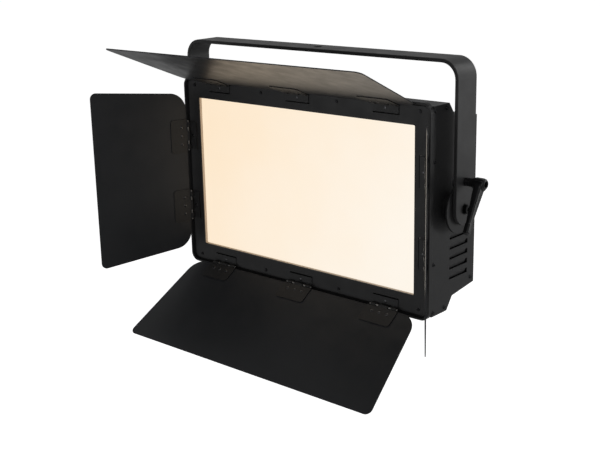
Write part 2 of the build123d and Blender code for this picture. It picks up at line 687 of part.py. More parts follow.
def door_leaves(side):
    """Hinge leaves riveted to a door, each with its knuckle round the pin."""
    leaves = []
    for hinge in door_sides[side][5]:
        plate = Pos(0, (leaf_length + 3.3) / 2) * Rectangle(leaf_width, leaf_length - 3.3)
        corners = plate.vertices().group_by(Axis.Y)[-1]
        plate = chamfer(corners, 3)
        plate += Rectangle(door_knuckle, 8)
        leaf = Pos(0, 0, leaf_offset) * extrude(plate, leaf_thickness)
        leaf -= block(-leaf_width / 2, leaf_width / 2, -8, 0, -5, 5)
        leaf += rod_x(knuckle_radius, -door_knuckle / 2, door_knuckle / 2)
        leaf -= rod_x(pin_radius + running, -leaf_width, leaf_width)
        for step in (-1, 0, 1):
            leaf -= Pos(step * leaf_rivet_pitch, leaf_rivet_reach, 0) * extrude(Circle(1.5), 5)
        leaves.append(in_head(hinge_plane(side, rest_angle[side]) * Pos(hinge, 0, 0) * leaf))
    return group(leaves)


def door_rivets(side):
    """Round-head rivets through the door and its hinge leaves."""
    top = leaf_offset + leaf_thickness
    under = leaf_offset - door_sheet
    rivet = Pos(0, 0, under) * extrude(Circle(1.5), top - under)
    head = Pos(0, 0, top) * extrude(Circle(rivet_radius), rivet_head)
    rivet += fillet(head.edges().group_by(Axis.Z)[-1], rivet_head * 0.8)
    rivet += Pos(0, 0, under - 0.6) * extrude(Circle(rivet_radius), 0.6)
    plane = hinge_plane(side, rest_angle[side])
    return group([in_head(plane * Pos(x, leaf_rivet_reach, 0) * rivet) for x in rivet_places(side)])


def frame_leaves():
    """Hinge leaves on the bezel, each with two knuckles standing up beside the lip."""
    leaves = []
    for side, (_, _, _, _, _, hinges) in door_sides.items():
        for hinge in hinges:
            floor = -lip_proud
            half = frame_leaf_width / 2
            leaf = block(-half, half, -frame_leaf_reach - 1, -1.2, floor, floor + 1)
            leaf += block(-half + 1, half - 1, -frame_leaf_reach - 1, -frame_leaf_reach, floor - 2.5, floor)
            for end in (-1, 1):
                middle = end * (frame_leaf_width - knuckle_length) / 2
                x0, x1 = middle - knuckle_length / 2, middle + knuckle_length / 2
                leaf += block(x0, x1, -2.4, -1.2, floor, 0) + rod_x(knuckle_radius, x0, x1)
            leaf -= rod_x(pin_radius, -leaf_width, leaf_width)
            leaf -= Pos(0, -frame_rivet_reach, floor) * extrude(Circle(1.5), 1)
            leaves.append(in_head(hinge_plane(side) * Pos(hinge, 0, 0) * leaf))
    return group(leaves)


def frame_rivets():
    """Rivets that hold the frame leaves to the bezel."""
    rivet = extrude(Circle(1.5), 1) + Pos(0, 0, 1) * extrude(Circle(rivet_radius), 0.5)
    rivets = []
    for side, (_, _, _, _, _, hinges) in door_sides.items():
        for hinge in hinges:
            place = Pos(hinge, -frame_rivet_reach, -lip_proud)
            rivets.append(in_head(hinge_plane(side) * place * rivet))
    return group(rivets)


def hinge_pins():
    """Bare steel hinge pins."""
    half = frame_leaf_width / 2 + 2.5
    pin = rod_x(pin_radius, -half, half)
    pin = chamfer(pin.edges().filter_by(GeomType.CIRCLE), 0.3)
    pins = []
    for side, (_, _, _, _, _, hinges) in door_sides.items():
        pins += [in_head(hinge_plane(side) * Pos(hinge, 0, 0) * pin) for hinge in hinges]
    return group(pins)


# ---- write every node ----------------------------------------------------------------------------
nodes = {
    "yoke": yoke(), "pivot_bushes": pivot_bushes(), "friction_washers": friction_washers(),
    "clamp_inserts": clamp_inserts(),
    "tilt_discs": tilt_discs(), "pivot_spacers": pivot_spacers(), "pivot_plates": pivot_plates(),
    "pivot_bolts": pivot_bolts(),
    "side_plate_right": side_plate(1), "side_plate_left": side_plate(-1),
    "top_cover": cover(1), "bottom_cover": cover(-1), "rear_panel": rear_panel(),
    "rear_brackets": rear_brackets(), "side_screws": side_screws(), "rear_screws": rear_screws(),
    "front_frame": front_frame(), "frame_screws": frame_screws(), "diffuser_seat": diffuser_seat(),
    "diffuser": diffuser(), "light_box": light_box(), "led_board": led_board(), "led_chips": led_chips(),
    "heat_sink": heat_sink(), "light_box_rails": light_box_rails(),
    "power_supply": power_supply(), "driver_board": driver_board(),
    "control_board": control_board(), "control_panel": control_panel(), "display": display(),
    "power_sockets": power_sockets(), "data_sockets": data_sockets(), "fuse_holder": fuse_holder(),
    "safety_loop": safety_loop(), "frame_leaves": frame_leaves(), "frame_rivets": frame_rivets(),
    "hinge_pins": hinge_pins(),
}
for name, maker in (("clamp_stud", clamp_stud), ("clamp_screw", clamp_screw), ("clamp_handle", clamp_handle)):
    nodes[name + "_right"] = maker()
    nodes[name + "_left"] = mirror(nodes[name + "_right"], Plane.YZ)
for number, name in enumerate(("menu", "down", "up", "enter")):
    nodes["button_" + name] = button(number)
for side in door_sides:
    nodes["door_" + side] = door(side)
    nodes["door_leaves_" + side] = door_leaves(side)
    nodes["door_rivets_" + side] = door_rivets(side)

os.makedirs("parts", exist_ok=True)
for name, shape in nodes.items():
    export_step(shape, "parts/" + name + ".step")
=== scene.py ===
"""Looks for the studio panel light: finishes, fasteners, levers, rear controls and the stage."""

import json
import math

import bmesh
import bpy
from bpy.props import FloatProperty, FloatVectorProperty, IntProperty, PointerProperty
from mathutils import Matrix, Vector

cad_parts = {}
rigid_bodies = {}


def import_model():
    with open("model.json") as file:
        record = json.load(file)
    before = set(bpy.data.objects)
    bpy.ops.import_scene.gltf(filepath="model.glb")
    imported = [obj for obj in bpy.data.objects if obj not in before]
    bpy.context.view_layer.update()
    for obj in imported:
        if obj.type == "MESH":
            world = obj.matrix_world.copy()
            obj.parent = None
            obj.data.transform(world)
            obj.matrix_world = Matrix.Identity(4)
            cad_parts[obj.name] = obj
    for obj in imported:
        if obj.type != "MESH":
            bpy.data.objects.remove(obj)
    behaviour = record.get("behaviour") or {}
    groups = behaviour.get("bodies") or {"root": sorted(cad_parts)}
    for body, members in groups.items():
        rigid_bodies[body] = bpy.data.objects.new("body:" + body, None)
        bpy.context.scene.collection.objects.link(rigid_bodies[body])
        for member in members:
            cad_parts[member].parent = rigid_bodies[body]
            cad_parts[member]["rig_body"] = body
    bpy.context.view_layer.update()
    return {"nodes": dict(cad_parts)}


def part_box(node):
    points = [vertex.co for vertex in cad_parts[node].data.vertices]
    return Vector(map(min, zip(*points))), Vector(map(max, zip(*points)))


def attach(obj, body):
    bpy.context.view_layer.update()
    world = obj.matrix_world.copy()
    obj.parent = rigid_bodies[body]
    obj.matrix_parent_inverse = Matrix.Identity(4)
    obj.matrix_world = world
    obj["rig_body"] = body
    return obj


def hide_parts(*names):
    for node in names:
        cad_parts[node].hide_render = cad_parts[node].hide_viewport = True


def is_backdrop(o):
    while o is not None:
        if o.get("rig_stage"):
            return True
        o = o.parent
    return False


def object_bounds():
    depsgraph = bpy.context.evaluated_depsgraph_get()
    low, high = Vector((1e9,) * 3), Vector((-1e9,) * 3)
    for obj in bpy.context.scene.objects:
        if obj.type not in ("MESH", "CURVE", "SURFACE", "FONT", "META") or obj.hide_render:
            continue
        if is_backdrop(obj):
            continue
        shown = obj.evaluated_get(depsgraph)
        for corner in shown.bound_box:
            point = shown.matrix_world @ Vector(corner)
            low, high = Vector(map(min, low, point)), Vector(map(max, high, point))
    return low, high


bl_info = {
    "name": "Panel light looks",
    "version": (1, 0, 0),
    "blender": (4, 5, 0),
    "location": "View3D > Sidebar > Panel light",
    "description": "Dresses the packed panel light with finishes, fasteners and a stage",
    "category": "Object",
}

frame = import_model()
NODES = frame["nodes"]
DOORS = ("top", "bottom", "left", "right")
RIVET_SEAT = 0.00105        # middle of a door rivet to the centre of each round head
LEAF_RIVET_HEAD = 0.0005    # height of the low rivet heads on the frame leaves
DOOR_FOCUS = 0.25           # the lit faces of the doors look at a point this far in front of the light

# cross-recess heads, as shares of the head's radius and height
HEAD_TOP, RECESS_LENGTH, RECESS_RISE = 0.78, 1.15, 0.9

# lit sheet: warm on one side, paler across a slant of this half width in metres
GLOW_SLANT, GLOW_REACH, GLOW_MOTTLE = -0.6, 0.24, 0.06

# moulded handles: blending after the remesh, and the share of triangles kept
BLEND_FACTOR, BLEND_STEPS, TRIANGLES_KEPT = 0.5, 5, 0.3

# display window, as shares of its width and height
BAR_COUNT, BAR_START, BAR_PITCH, BAR_WIDTH = 12, 0.1, 0.0675, 0.045
BAR_FOOT, BAR_TALLEST, BAR_STEP = 0.24, 0.54, 0.04
LINE_END, LINE_LOW, LINE_HIGH = 0.9, 0.1, 0.06      # base line: right end, and its edges below the bars
BAR_HEIGHT, BAR_BEVEL = 0.00008, 0.00003            # metres

# moulded marks on the keys, in metres
MARK_REACH, MARK_STROKE, MARK_PITCH = 0.0016, 0.00022, 0.0009
ARROW_BASE, ARROW_TIP, DOT_SIDES = 0.0008, 0.0013, 20
MARK_SINK, MARK_HEIGHT, MARK_BEVEL = 0.00002, 0.00022, 0.00006

# stage: floor, surroundings and soft boxes
FLOOR_REACH, FLOOR_TONE, FLOOR_GLOW = 30.0, 0.985, 0.8
BRIGHT_SIDE = (-0.66, 0.75, 0.0)                    # the surroundings brighten towards here
DIM_END, BRIGHT_END = (-0.6, 0.14), (0.9, 0.4)      # (place along that direction, strength)
SOFT_BOXES = (              # name, place, width, height, watts
    ("overhead", (0.3, 0.5, 1.5), 1.4, 1.0, 2.4),
    ("right_rear", (1.75, 1.5, -0.1), 0.7, 0.9, 5),
    ("front_right", (1.5, -1.9, 1.1), 1.0, 1.0, 11),
    ("front_left", (-1.0, -1.75, -0.55), 0.7, 0.7, 1.6),
    ("rear", (1.2, 2.4, 1.0), 1.4, 1.2, 14),
)

# camera: lens and sensor in millimetres, place in metres, and its own axes
LENS, SENSOR, LENS_SHIFT = 64.879032, 36, (0.02879424, -0.01669626)
CAMERA_PLACE = (1.03302572, -1.21861283, 0.18331796)
CAMERA_RIGHT = (0.74309669, 0.66872571, -0.02476349)
CAMERA_UP = (-0.15941733, 0.21284412, 0.96399352)
CAMERA_BACK = (0.64991801, -0.71239266, 0.26477023)


# ---- settings ------------------------------------------------------------------------------------
def size(name, description, default):
    """Length setting in metres."""
    return FloatProperty(name=name, description=description, default=default, unit="LENGTH")


def colour(name, description, default):
    """Linear colour setting."""
    return FloatVectorProperty(name=name, description=description, default=default, size=3, subtype="COLOR",
                               min=0, max=1)


class CoatSettings(bpy.types.PropertyGroup):
    """Powder coat on the sheet metal."""

    black: colour("Black", "Coat on frame, housing and doors", (0.011, 0.011, 0.0115))
    doors: colour("Doors", "Coat on the barn doors", (0.0125, 0.0135, 0.0155))
    yoke: colour("Yoke", "Coat on the yoke", (0.02, 0.02, 0.0205))
    worn: colour("Worn edge", "Where the coat has rubbed thin", (0.035, 0.035, 0.036))
    grain: size("Grain", "Size of the coat's orange peel", 0.0009)
    grain_depth: size("Grain depth", "Height of the orange peel", 0.00001)
    edge: size("Edge rounding", "Rounding of bent and cut edges", 0.0004)


class FastenerSettings(bpy.types.PropertyGroup):
    """Screws and rivets."""

    side_radius: size("Side screw", "Head radius of the housing screws", 0.0029)
    frame_radius: size("Frame screw", "Head radius of the bezel screws", 0.0027)
    head: size("Head height", "Height of the pan heads", 0.0013)
    recess: size("Recess", "Width of the cross recess", 0.00075)
    rivet: size("Rivet", "Head radius of the hinge rivets", 0.0025)
    dome: size("Rivet dome", "Height of the rivets' round heads", 0.0012)
    seed: IntProperty(name="Seed", description="Turns each head differently", default=7)


class LightSettings(bpy.types.PropertyGroup):
    """The lit sheet."""

    warm: colour("Warm side", "Colour of the lit sheet at its left and upper end", (0.97, 0.79, 0.58))
    pale: colour("Pale side", "Colour of the lit sheet at its right and lower end", (0.97, 0.9, 0.8))
    strength: FloatProperty(name="Strength", description="Brightness of the lit sheet", default=0.98, min=0)
    # painted glow: the seat is white; its warm tan colour stands in for the lit sheet's light falling on it
    seat: colour("Seat", "White seat round the lit sheet", (0.5, 0.4, 0.3))


class LeverSettings(bpy.types.PropertyGroup):
    """Clamping levers."""

    nylon: colour("Nylon", "Moulded handle", (0.0045, 0.0045, 0.005))
    voxel: size("Voxel", "Finest shape kept in the moulded handle", 0.00038)


class ControlSettings(bpy.types.PropertyGroup):
    """Rear controls."""

    plastic: colour("Plastic", "Surround, fuse holder and socket shells", (0.014, 0.014, 0.015))
    keys: colour("Keys", "Rubber of the buttons", (0.05, 0.05, 0.052))
    screen: colour("Screen", "Lit marks on the display", (0.25, 0.75, 1.0))


class StageSettings(bpy.types.PropertyGroup):
    """Floor, lights and camera."""

    floor_drop: size("Floor drop", "Floor below the lowest door", 0.35)
    floor: colour("Floor", "Pale floor", (0.9, 0.9, 0.9))


GROUPS = (
    ("coat", CoatSettings), ("fasteners", FastenerSettings), ("light", LightSettings),
    ("lever", LeverSettings), ("controls", ControlSettings), ("set", StageSettings),
)


# ---- material helpers ----------------------------------------------------------------------------
class Finish:
    """A principled material with helpers for noise driven detail."""

    def __init__(self, name, base, roughness, metallic=0.0, specular=0.5):
        self.material = bpy.data.materials.new(name)
        self.material.use_nodes = True
        self.tree = self.material.node_tree
        self.shader = self.tree.nodes["Principled BSDF"]
        self.shader.inputs["Base Color"].default_value = (*base, 1)
        self.shader.inputs["Roughness"].default_value = roughness
        self.shader.inputs["Metallic"].default_value = metallic
        self.shader.inputs["Specular IOR Level"].default_value = specular
        self.place = self.add("ShaderNodeTexCoord").outputs["Object"]

    def add(self, kind, **inputs):
        """New node, with inputs set by name or linked when given a socket."""
        node = self.tree.nodes.new(kind)
        for key, value in inputs.items():
            socket = node.inputs[key.replace("_", " ")]
            if isinstance(value, bpy.types.NodeSocket):
                self.tree.links.new(value, socket)
            else:
                socket.default_value = value
        return node

    def link(self, socket, name):
        """Drive one of the shader's sockets."""
        self.tree.links.new(socket, self.shader.inputs[name])

    def stretched(self, scale):
        """Object coordinates scaled separately along each axis."""
        return self.add("ShaderNodeMapping", Vector=self.place, Scale=scale).outputs["Vector"]

    def noise(self, scale, detail=3.0, rough=0.5, vector=None):
        """Noise value; scale is in cells per metre."""
        return self.add("ShaderNodeTexNoise", Vector=vector or self.place, Scale=scale, Detail=detail,
                        Roughness=rough).outputs["Fac"]

    def span(self, value, low, high, start=0.3, end=0.7):
        """Map start..end to low..high."""
        node = self.add("ShaderNodeMapRange", Value=value)
        for key, number in (("From Min", start), ("From Max", end), ("To Min", low), ("To Max", high)):
            node.inputs[key].default_value = number
        return node.outputs["Result"]

    def mix(self, factor, first, second):
        """Blend two colours."""
        node = self.tree.nodes.new("ShaderNodeMix")
        node.data_type = "RGBA"
        for socket, value in ((node.inputs[0], factor), (node.inputs[6], first), (node.inputs[7], second)):
            if isinstance(value, bpy.types.NodeSocket):
                self.tree.links.new(value, socket)
            else:
                socket.default_value = value if isinstance(value, float) else (*value, 1)
        return node.outputs[2]

    def relief(self, height, depth, rounding=0.0):
        """Bump from a height, on top of rounded edges."""
        bump = self.add("ShaderNodeBump", Height=height, Distance=depth, Strength=1.0)
        if rounding:
            edge = self.add("ShaderNodeBevel", Radius=rounding)
            edge.samples = 4
            self.tree.links.new(edge.outputs["Normal"], bump.inputs["Normal"])
        self.link(bump.outputs["Normal"], "Normal")


def powder_coat(name, base, settings, roughness=0.42):
    """Satin powder coat: fine orange peel, faint cloudiness, thin dust and rubbed patches."""
    finish = Finish(name, base, roughness, specular=0.35)
    cloud = finish.noise(9.0, 4.0)
    lighter = tuple(channel * 1.35 + 0.002 for channel in base)
    body = finish.mix(finish.span(cloud, 0.0, 0.6), base, lighter)
    speck = finish.span(finish.noise(420.0, 2.0, 0.7), 0.0, 0.5, 0.66, 0.78)
    dusty = finish.mix(speck, body, tuple(settings.worn))
    finish.link(dusty, "Base Color")
    finish.link(finish.span(finish.noise(38.0, 5.0, 0.6), roughness - 0.06, roughness + 0.07), "Roughness")
    finish.relief(finish.noise(1.0 / settings.grain, 1.5), settings.grain_depth, settings.edge)
    return finish.material


def plated_steel(name, base, roughness, lines):
    """Bright or blackened steel with fine turning lines along one axis."""
    finish = Finish(name, base, roughness, metallic=1.0)
    streak = finish.noise(1.0, 4.0, 0.6, finish.stretched(lines))
    finish.link(finish.span(streak, roughness - 0.07, roughness + 0.1), "Roughness")
    dull = tuple(channel * 0.7 for channel in base)
    finish.link(finish.mix(finish.span(finish.noise(160.0), 0.0, 0.5), base, dull), "Base Color")
    finish.relief(streak, 0.000004, 0.0002)
    return finish.material


def moulded(name, base, roughness, grain=0.00045, depth=0.000012, rounding=0.0003):
    """Textured plastic with a spark-eroded grain and slightly polished patches."""
    finish = Finish(name, base, roughness)
    finish.link(finish.span(finish.noise(55.0, 4.0), roughness - 0.08, roughness + 0.06), "Roughness")
    lighter = tuple(channel * 1.5 + 0.003 for channel in base)
    finish.link(finish.mix(finish.span(finish.noise(24.0), 0.0, 0.5), base, lighter), "Base Color")
    finish.relief(finish.noise(1.0 / grain, 2.0, 0.65), depth, rounding)
    return finish.material


# ---- mesh helpers --------------------------------------------------------------------------------
def finished(name, mesh, node, *replaced, body=None, looks=None):
    """Link a mesh as a finished piece that rides on a body (the CAD node's, unless given), hides the CAD
    nodes it replaces and, when given, takes the looks as its one material.
    """
    piece = bpy.data.objects.new(name, mesh)
    bpy.context.scene.collection.objects.link(piece)
    if looks:
        mesh.materials.clear()
        mesh.materials.append(looks)
    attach(piece, body or NODES[node]["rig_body"])
    if replaced:
        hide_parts(*replaced)
    return piece


def merged(node):
    """bmesh copy of a CAD node with its loose triangles joined."""
    shape = bmesh.new()
    shape.from_mesh(NODES[node].data)
    bmesh.ops.remove_doubles(shape, verts=shape.verts, dist=1e-6)
    return shape


def solids(node):
    """Lowest and highest corner of each separate solid in a CAD node, in a fixed order."""
    shape = merged(node)
    left, boxes = set(shape.verts), []
    while left:
        stack, island = [left.pop()], []
        while stack:
            vert = stack.pop()
            island.append(vert.co.copy())
            for edge in vert.link_edges:
                other = edge.other_vert(vert)
                if other in left:
                    left.remove(other)
                    stack.append(other)
        low = Vector(min(point[axis] for point in island) for axis in range(3))
        high = Vector(max(point[axis] for point in island) for axis in range(3))
        boxes.append((low, high))
    shape.free()
    return sorted(boxes, key=lambda box: tuple(box[0]))


def plate_direction(node):
    """Unit normal of a door's lit face."""
    mesh = NODES[node].data
    face = max(mesh.polygons, key=lambda polygon: polygon.area)
    low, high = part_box("diffuser")
    inward = (low + high) / 2 - Vector((0, DOOR_FOCUS, 0)) - face.center
    return face.normal.copy() * (1 if face.normal.dot(inward) > 0 else -1)


def rectangle(left, bottom, right, top):
    """Corners of an upright rectangle."""
    return [(left, bottom), (right, bottom), (right, top), (left, top)]


def raised_marks(outlines, base, height, bevel):
    """Closed mesh of flat marks that stand height proud of a rear face at y = base.

    Each outline is a list of (x, z) corners.
    """
    shape = bmesh.new()
    for outline in outlines:
        floor = [shape.verts.new((x, base, z)) for x, z in outline]
        rise = bmesh.ops.extrude_face_region(shape, geom=[shape.faces.new(floor)])["geom"]
        for vert in (item for item in rise if isinstance(item, bmesh.types.BMVert)):
            vert.co.y += height
    bmesh.ops.recalc_face_normals(shape, faces=shape.faces)
    tops = [edge for edge in shape.edges if all(vert.co.y > base + height / 2 for vert in edge.verts)]
    bmesh.ops.bevel(shape, geom=tops, offset=bevel, segments=2, profile=0.5, affect="EDGES")
    mesh = bpy.data.meshes.new("marks")
    shape.to_mesh(mesh)
    shape.free()
    return mesh


def coat_node(material, *names):
    """Give CAD nodes a finish."""
    for name in names:
        mesh = NODES[name].data
        mesh.materials.clear()
        mesh.materials.append(material)
        for face in mesh.polygons:
            face.material_index = 0


# ---- geometry nodes ------------------------------------------------------------------------------
class NodeTree:
    """Small wrapper for building a geometry node tree with named inputs."""

    def __init__(self, name):
        self.group = bpy.data.node_groups.new(name, "GeometryNodeTree")
        self.group.interface.new_socket("Geometry", in_out="INPUT", socket_type="NodeSocketGeometry")
        self.group.interface.new_socket("Geometry", in_out="OUTPUT", socket_type="NodeSocketGeometry")
        self.given = self.group.nodes.new("NodeGroupInput")
        self.result = self.group.nodes.new("NodeGroupOutput")

    def value(self, name, kind="NodeSocketFloat"):
        """Named input of the tree."""
        self.group.interface.new_socket(name, in_out="INPUT", socket_type=kind)
        return self.given.outputs[name]

    def add(self, kind, inputs=(), **settings):
        """New node; inputs pairs a socket's name or number with a value or another socket."""
        node = self.group.nodes.new(kind)
        for key, setting in settings.items():
            setattr(node, key, setting)
        for key, value in inputs:
            if isinstance(value, bpy.types.NodeSocket):
                self.group.links.new(value, node.inputs[key])
            else:
                node.inputs[key].default_value = value
        return node

    def math(self, operation, first, second):
        """Arithmetic on two values."""
        return self.add("ShaderNodeMath", ((0, first), (1, second)), operation=operation).outputs[0]


def head_field(name, recessed):
    """Tree that puts a screw or rivet head on each point, facing along the point's facing attribute."""
    tree = NodeTree(name)
    radius, height = tree.value("Head Radius"), tree.value("Head Height")
    seed, finish = tree.value("Seed", "NodeSocketInt"), tree.value("Finish", "NodeSocketMaterial")
    if recessed:
        recess = tree.value("Recess Width")
        rim = tree.add("GeometryNodeMeshCone", (
            ("Vertices", 28), ("Radius Top", tree.math("MULTIPLY", radius, HEAD_TOP)),
            ("Radius Bottom", radius), ("Depth", height)))
        blades = []
        for turn in (0.0, math.pi / 2):
            blade = tree.add("GeometryNodeMeshCube", (("Size", tree.add(
                "ShaderNodeCombineXYZ", ((0, tree.math("MULTIPLY", radius, RECESS_LENGTH)), (1, recess),
                                         (2, height))).outputs[0]),))
            lifted = tree.add("GeometryNodeTransform", (
                ("Geometry", blade.outputs["Mesh"]), ("Rotation", (0, 0, turn)),
                ("Translation", tree.add("ShaderNodeCombineXYZ", (
                    (2, tree.math("MULTIPLY", height, RECESS_RISE)),)).outputs[0])))
            blades.append(lifted.outputs["Geometry"])
        cut = tree.add("GeometryNodeMeshBoolean", (("Mesh 1", rim.outputs["Mesh"]),),
                       operation="DIFFERENCE", solver="EXACT")
        for blade in blades:
            tree.group.links.new(blade, cut.inputs["Mesh 2"])
        head = cut.outputs["Mesh"]
    else:
        ball = tree.add("GeometryNodeMeshUVSphere", (("Segments", 24), ("Rings", 12), ("Radius", radius)))
        flat = tree.add("ShaderNodeCombineXYZ", (
            (0, 1.0), (1, 1.0), (2, tree.math("DIVIDE", height, radius))))
        head = tree.add("GeometryNodeTransform", (("Geometry", ball.outputs["Mesh"]),
                                                  ("Scale", flat.outputs[0]))).outputs["Geometry"]
    facing = tree.add("GeometryNodeInputNamedAttribute", (("Name", "facing"),),
                      data_type="FLOAT_VECTOR")
    turned = tree.add("FunctionNodeAlignRotationToVector", (("Vector", facing.outputs["Attribute"]),),
                      axis="Z")
    twist = tree.add("FunctionNodeRandomValue", ((2, 0.0), (3, math.tau), ("Seed", seed)),
                     data_type="FLOAT")
    spin = tree.add("FunctionNodeAxisAngleToRotation", (
        ("Axis", (0, 0, 1)), ("Angle", twist.outputs[1])))
    both = tree.add("FunctionNodeRotateRotation", (("Rotation", turned.outputs[0]),
                                                   ("Rotate By", spin.outputs[0])), rotation_space="LOCAL")
    points = tree.add("GeometryNodeMeshToPoints", (("Mesh", tree.given.outputs["Geometry"]),))
    spread = tree.add("GeometryNodeInstanceOnPoints", (
        ("Points", points.outputs["Points"]), ("Instance", head), ("Rotation", both.outputs[0])))
    real = tree.add("GeometryNodeRealizeInstances", (("Geometry", spread.outputs["Instances"]),))
    dressed = tree.add("GeometryNodeSetMaterial", (
        ("Geometry", real.outputs["Geometry"]), ("Material", finish)))
    tree.group.links.new(dressed.outputs["Geometry"], tree.result.inputs["Geometry"])
    return tree.group


def grown(name, tree, places, values):
    """Plain mesh grown by a tree on points; places is a list of (position, facing)."""
    seedling = bpy.data.meshes.new(name + "_points")
    seedling.from_pydata([tuple(place) for place, _ in places], [], [])
    facing = seedling.attributes.new("facing", "FLOAT_VECTOR", "POINT")
    for number, (_, direction) in enumerate(places):
        facing.data[number].vector = direction
    holder = bpy.data.objects.new(name + "_points", seedling)
    bpy.context.scene.collection.objects.link(holder)
    modifier = holder.modifiers.new("Grow", "NODES")
    modifier.node_group = tree
    for item in tree.interface.items_tree:
        if item.in_out == "INPUT" and item.name in values:
            modifier[item.identifier] = values[item.name]
    graph = bpy.context.evaluated_depsgraph_get()
    grown_mesh = bpy.data.meshes.new_from_object(
        holder.evaluated_get(graph), preserve_all_data_layers=True, depsgraph=graph)
    if not grown_mesh.polygons:
        raise RuntimeError(f"{name} grew nothing")
    holder.modifiers.remove(modifier)
    bpy.data.objects.remove(holder)
    bpy.data.meshes.remove(seedling)
    grown_mesh.name = name
    return grown_mesh


# ---- operators -----------------------------------------------------------------------------------
class PieceOperator:
    """Shared settings lookup."""

    bl_options = {"REGISTER", "UNDO"}

    @staticmethod
    def settings(context, group):
        return getattr(context.scene, "panel_light_" + group)


class PANELLIGHT_OT_sheet_metal(PieceOperator, bpy.types.Operator):
    """Powder coat on frame, housing, yoke, discs, hinges and doors"""

    bl_idname = "panellight.sheet_metal"
    bl_label = "Sheet metal"

    def execute(self, context):
        coat = self.settings(context, "coat")
        black = powder_coat("black_powder_coat", tuple(coat.black), coat)
        coat_node(black, "front_frame", "side_plate_right", "side_plate_left", "top_cover", "bottom_cover",
                  "rear_panel", "tilt_discs", "pivot_spacers", "frame_leaves")
        coat_node(powder_coat("yoke_powder_coat", tuple(coat.yoke), coat, 0.45), "yoke")
        doors = powder_coat("door_powder_coat", tuple(coat.doors), coat, 0.34)
        for side in DOORS:
            coat_node(doors, "door_" + side)
            coat_node(black, "door_leaves_" + side)
        return {"FINISHED"}


class PANELLIGHT_OT_steel(PieceOperator, bpy.types.Operator):
    """Bare and plated steel: hinge pins, clamp studs, safety loop, bolts and hidden brackets"""

    bl_idname = "panellight.steel"
    bl_label = "Steel parts"

    def execute(self, context):
        coat_node(plated_steel("bright_pin_steel", (0.42, 0.41, 0.4), 0.3, (900, 900, 900)), "hinge_pins")
        coat_node(plated_steel("zinc_plate", (0.55, 0.56, 0.57), 0.34, (90, 700, 700)), "clamp_stud_right",
                  "clamp_stud_left", "safety_loop", "pivot_plates", "rear_brackets", "light_box_rails",
                  "clamp_inserts")
        coat_node(plated_steel("black_oxide", (0.02, 0.02, 0.021), 0.4, (700, 90, 700)), "pivot_bolts",
                  "clamp_screw_right", "clamp_screw_left")
        coat_node(plated_steel("bearing_bronze", (0.5, 0.34, 0.14), 0.42, (400, 400, 400)), "pivot_bushes")
        coat_node(moulded("pressed_fibre", (0.05, 0.035, 0.02), 0.85), "friction_washers")
        return {"FINISHED"}


class PANELLIGHT_OT_screws(PieceOperator, bpy.types.Operator):
    """Cross-recess screws on the sides, the bezel and the back"""

    bl_idname = "panellight.screws"
    bl_label = "Screws"

    def execute(self, context):
        fit = self.settings(context, "fasteners")
        steel = plated_steel("screw_black_zinc", (0.045, 0.045, 0.048), 0.3, (900, 900, 900))
        tree = head_field("pan_head_field", True)
        rows = (
            ("side_screws", 0, None, fit.side_radius), ("frame_screws", 1, -1, fit.frame_radius),
            ("rear_screws", 1, 1, fit.side_radius),
        )
        for node, axis, way, radius in rows:
            places = []
            for low, high in solids(node):
                middle = (low + high) / 2
                sign = way or (1 if middle[axis] > 0 else -1)
                facing = Vector((0, 0, 0))
                facing[axis] = sign
                middle[axis] = (high if sign > 0 else low)[axis] - sign * fit.head
                places.append((middle, facing))
            mesh = grown(node + "_heads", tree, places, {
                "Head Radius": radius, "Head Height": fit.head, "Recess Width": fit.recess, "Seed": fit.seed,
                "Finish": steel})
            finished(node + "_heads", mesh, node, node)
        return {"FINISHED"}


class PANELLIGHT_OT_rivets(PieceOperator, bpy.types.Operator):
    """Round rivet heads on the hinge leaves, on both faces of the doors and on the frame leaves"""

    bl_idname = "panellight.rivets"
    bl_label = "Rivets"

    def execute(self, context):
        fit = self.settings(context, "fasteners")
        steel = plated_steel("rivet_black", (0.1, 0.1, 0.105), 0.24, (700, 700, 700))
        tree = head_field("rivet_field", False)
        for side in DOORS:
            node = "door_rivets_" + side
            out = plate_direction("door_" + side)
            places = []
            for low, high in solids(node):
                middle = (low + high) / 2
                places += [(middle + out * RIVET_SEAT, out), (middle - out * RIVET_SEAT, -out)]
            mesh = grown(node + "_heads", tree, places, {
                "Head Radius": fit.rivet, "Head Height": fit.dome, "Seed": fit.seed, "Finish": steel})
            finished(node + "_heads", mesh, node, node)
        places = []
        for low, high in solids("frame_rivets"):
            middle = (low + high) / 2
            middle.y = low.y + LEAF_RIVET_HEAD
            places.append((middle, Vector((0, -1, 0))))
        mesh = grown("frame_rivet_heads", tree, places, {
            "Head Radius": fit.rivet, "Head Height": LEAF_RIVET_HEAD, "Seed": fit.seed, "Finish": steel})
        finished("frame_rivet_heads", mesh, "frame_rivets", "frame_rivets")
        return {"FINISHED"}


